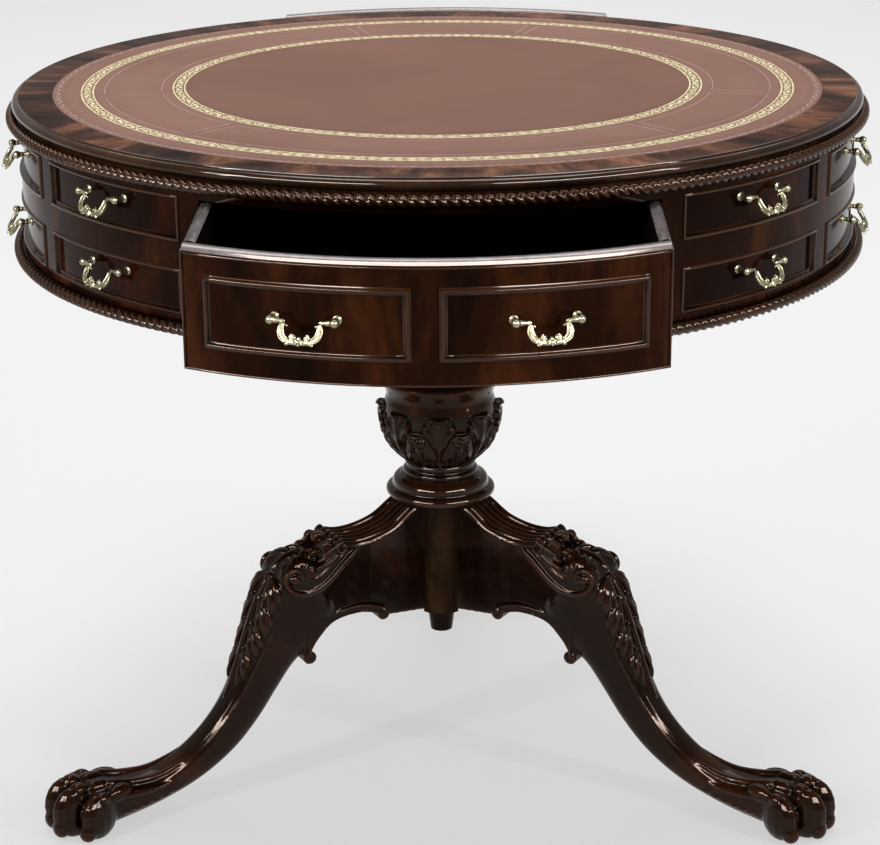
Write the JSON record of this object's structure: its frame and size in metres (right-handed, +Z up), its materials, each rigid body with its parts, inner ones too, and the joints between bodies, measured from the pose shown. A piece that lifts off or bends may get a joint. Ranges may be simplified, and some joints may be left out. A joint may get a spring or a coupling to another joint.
{
  "type": "captains desk",
  "caption": "Round drum desk with a leather writing top, rope-moulded edges, bowed drawers with swinging bail pulls, and a carved pedestal on cabriole legs with paw feet.",
  "frame": {"origin": "on the floor under the axis of the column", "axes": "+Z up, the front drawer faces -Y, +X to the right of someone who faces the front drawer"},
  "size_m": [0.9139, 1.3236, 0.775],
  "materials": {
    "mahogany": "dark polished mahogany",
    "drawer_lining": "dark stained, satin",
    "leather": "tooled and gilt, satin",
    "brass": "antique cast brass",
    "steel": "plain"
  },
  "bodies": {
    "desk": {"apron_left": "mahogany", "apron_right": "mahogany", "bottom_board": "mahogany", "drawer_divider": "drawer_lining", "drawer_guide_left": "drawer_lining", "drawer_guide_right": "drawer_lining", "drawer_rails": "mahogany", "drawer_runners": "drawer_lining", "flange_screws": "steel", "leather_inlay": "leather", "leg_left": "mahogany", "leg_post": "mahogany", "leg_rear": "mahogany", "leg_right": "mahogany", "lower_rope_moulding": "mahogany", "mounting_block": "mahogany", "pedestal_collar": "mahogany", "pedestal_urn": "mahogany", "post_foot_block": "mahogany", "side_panel_mouldings": "mahogany", "side_pull_posts": "brass", "table_top": "mahogany", "tie_rod": "steel", "tie_rod_nuts": "steel", "upper_rope_moulding": "mahogany"},
    "front_drawer": {"front_drawer_back": "drawer_lining", "front_drawer_bottom": "drawer_lining", "front_drawer_front": "mahogany", "front_drawer_left_side": "drawer_lining", "front_drawer_mouldings": "mahogany", "front_drawer_pull_posts": "brass", "front_drawer_right_side": "drawer_lining"},
    "rear_drawer": {"rear_drawer_back": "drawer_lining", "rear_drawer_bottom": "drawer_lining", "rear_drawer_front": "mahogany", "rear_drawer_left_side": "drawer_lining", "rear_drawer_mouldings": "mahogany", "rear_drawer_pull_posts": "brass", "rear_drawer_right_side": "drawer_lining"},
    "bail_front_drawer_left": {"bail_front_drawer_left": "brass"},
    "bail_front_drawer_right": {"bail_front_drawer_right": "brass"},
    "bail_left_lower_1": {"bail_left_lower_1": "brass"},
    "bail_left_lower_2": {"bail_left_lower_2": "brass"},
    "bail_left_lower_3": {"bail_left_lower_3": "brass"},
    "bail_left_lower_4": {"bail_left_lower_4": "brass"},
    "bail_left_upper_1": {"bail_left_upper_1": "brass"},
    "bail_left_upper_2": {"bail_left_upper_2": "brass"},
    "bail_left_upper_3": {"bail_left_upper_3": "brass"},
    "bail_left_upper_4": {"bail_left_upper_4": "brass"},
    "bail_rear_drawer_left": {"bail_rear_drawer_left": "brass"},
    "bail_rear_drawer_right": {"bail_rear_drawer_right": "brass"},
    "bail_right_lower_1": {"bail_right_lower_1": "brass"},
    "bail_right_lower_2": {"bail_right_lower_2": "brass"},
    "bail_right_lower_3": {"bail_right_lower_3": "brass"},
    "bail_right_lower_4": {"bail_right_lower_4": "brass"},
    "bail_right_upper_1": {"bail_right_upper_1": "brass"},
    "bail_right_upper_2": {"bail_right_upper_2": "brass"},
    "bail_right_upper_3": {"bail_right_upper_3": "brass"},
    "bail_right_upper_4": {"bail_right_upper_4": "brass"}
  },
  "joints": [
    {"name": "front_drawer_slide", "type": "slide", "parent": "desk", "child": "front_drawer", "axis": [0, -1, 0], "range_m": [-0.159, 0.141]},
    {"name": "rear_drawer_slide", "type": "slide", "parent": "desk", "child": "rear_drawer", "axis": [0, 1, 0], "range_m": [-0.25, 0.05]},
    {"name": "front_drawer_left_bail_hinge", "type": "hinge", "parent": "front_drawer", "child": "bail_front_drawer_left", "pos_m": [-0.10432, -0.60096, 0.688], "axis": [-0.9733, 0.2297, 0], "range_deg": [0, 80]},
    {"name": "front_drawer_right_bail_hinge", "type": "hinge", "parent": "front_drawer", "child": "bail_front_drawer_right", "pos_m": [0.10432, -0.60096, 0.688], "axis": [-0.9733, -0.2297, 0], "range_deg": [0, 80]},
    {"name": "rear_drawer_left_bail_hinge", "type": "hinge", "parent": "rear_drawer", "child": "bail_rear_drawer_left", "pos_m": [0.10432, 0.69196, 0.688], "axis": [0.9733, -0.2297, 0], "range_deg": [0, 80]},
    {"name": "rear_drawer_right_bail_hinge", "type": "hinge", "parent": "rear_drawer", "child": "bail_rear_drawer_right", "pos_m": [-0.10432, 0.69196, 0.688], "axis": [0.9733, 0.2297, 0], "range_deg": [0, 80]},
    {"name": "left_lower_1_bail_hinge", "type": "hinge", "parent": "desk", "child": "bail_left_lower_1", "pos_m": [-0.31862, -0.31862, 0.6575], "axis": [-0.7071, 0.7071, 0], "range_deg": [0, 80]},
    {"name": "left_lower_2_bail_hinge", "type": "hinge", "parent": "desk", "child": "bail_left_lower_2", "pos_m": [-0.43525, -0.11662, 0.6575], "axis": [-0.2588, 0.9659, 0], "range_deg": [0, 80]},
    {"name": "left_lower_3_bail_hinge", "type": "hinge", "parent": "desk", "child": "bail_left_lower_3", "pos_m": [-0.43525, 0.11662, 0.6575], "axis": [0.2588, 0.9659, 0], "range_deg": [0, 80]},
    {"name": "left_lower_4_bail_hinge", "type": "hinge", "parent": "desk", "child": "bail_left_lower_4", "pos_m": [-0.31862, 0.31862, 0.6575], "axis": [0.7071, 0.7071, 0], "range_deg": [0, 80]},
    {"name": "left_upper_1_bail_hinge", "type": "hinge", "parent": "desk", "child": "bail_left_upper_1", "pos_m": [-0.31862, -0.31862, 0.7285], "axis": [-0.7071, 0.7071, 0], "range_deg": [0, 80]},
    {"name": "left_upper_2_bail_hinge", "type": "hinge", "parent": "desk", "child": "bail_left_upper_2", "pos_m": [-0.43525, -0.11662, 0.7285], "axis": [-0.2588, 0.9659, 0], "range_deg": [0, 80]},
    {"name": "left_upper_3_bail_hinge", "type": "hinge", "parent": "desk", "child": "bail_left_upper_3", "pos_m": [-0.43525, 0.11662, 0.7285], "axis": [0.2588, 0.9659, 0], "range_deg": [0, 80]},
    {"name": "left_upper_4_bail_hinge", "type": "hinge", "parent": "desk", "child": "bail_left_upper_4", "pos_m": [-0.31862, 0.31862, 0.7285], "axis": [0.7071, 0.7071, 0], "range_deg": [0, 80]},
    {"name": "right_lower_1_bail_hinge", "type": "hinge", "parent": "desk", "child": "bail_right_lower_1", "pos_m": [0.31862, -0.31862, 0.6575], "axis": [-0.7071, -0.7071, 0], "range_deg": [0, 80]},
    {"name": "right_lower_2_bail_hinge", "type": "hinge", "parent": "desk", "child": "bail_right_lower_2", "pos_m": [0.43525, -0.11662, 0.6575], "axis": [-0.2588, -0.9659, 0], "range_deg": [0, 80]},
    {"name": "right_lower_3_bail_hinge", "type": "hinge", "parent": "desk", "child": "bail_right_lower_3", "pos_m": [0.43525, 0.11662, 0.6575], "axis": [0.2588, -0.9659, 0], "range_deg": [0, 80]},
    {"name": "right_lower_4_bail_hinge", "type": "hinge", "parent": "desk", "child": "bail_right_lower_4", "pos_m": [0.31862, 0.31862, 0.6575], "axis": [0.7071, -0.7071, 0], "range_deg": [0, 80]},
    {"name": "right_upper_1_bail_hinge", "type": "hinge", "parent": "desk", "child": "bail_right_upper_1", "pos_m": [0.31862, -0.31862, 0.7285], "axis": [-0.7071, -0.7071, 0], "range_deg": [0, 80]},
    {"name": "right_upper_2_bail_hinge", "type": "hinge", "parent": "desk", "child": "bail_right_upper_2", "pos_m": [0.43525, -0.11662, 0.7285], "axis": [-0.2588, -0.9659, 0], "range_deg": [0, 80]},
    {"name": "right_upper_3_bail_hinge", "type": "hinge", "parent": "desk", "child": "bail_right_upper_3", "pos_m": [0.43525, 0.11662, 0.7285], "axis": [0.2588, -0.9659, 0], "range_deg": [0, 80]},
    {"name": "right_upper_4_bail_hinge", "type": "hinge", "parent": "desk", "child": "bail_right_upper_4", "pos_m": [0.31862, 0.31862, 0.7285], "axis": [0.7071, -0.7071, 0], "range_deg": [0, 80]}
  ]
}
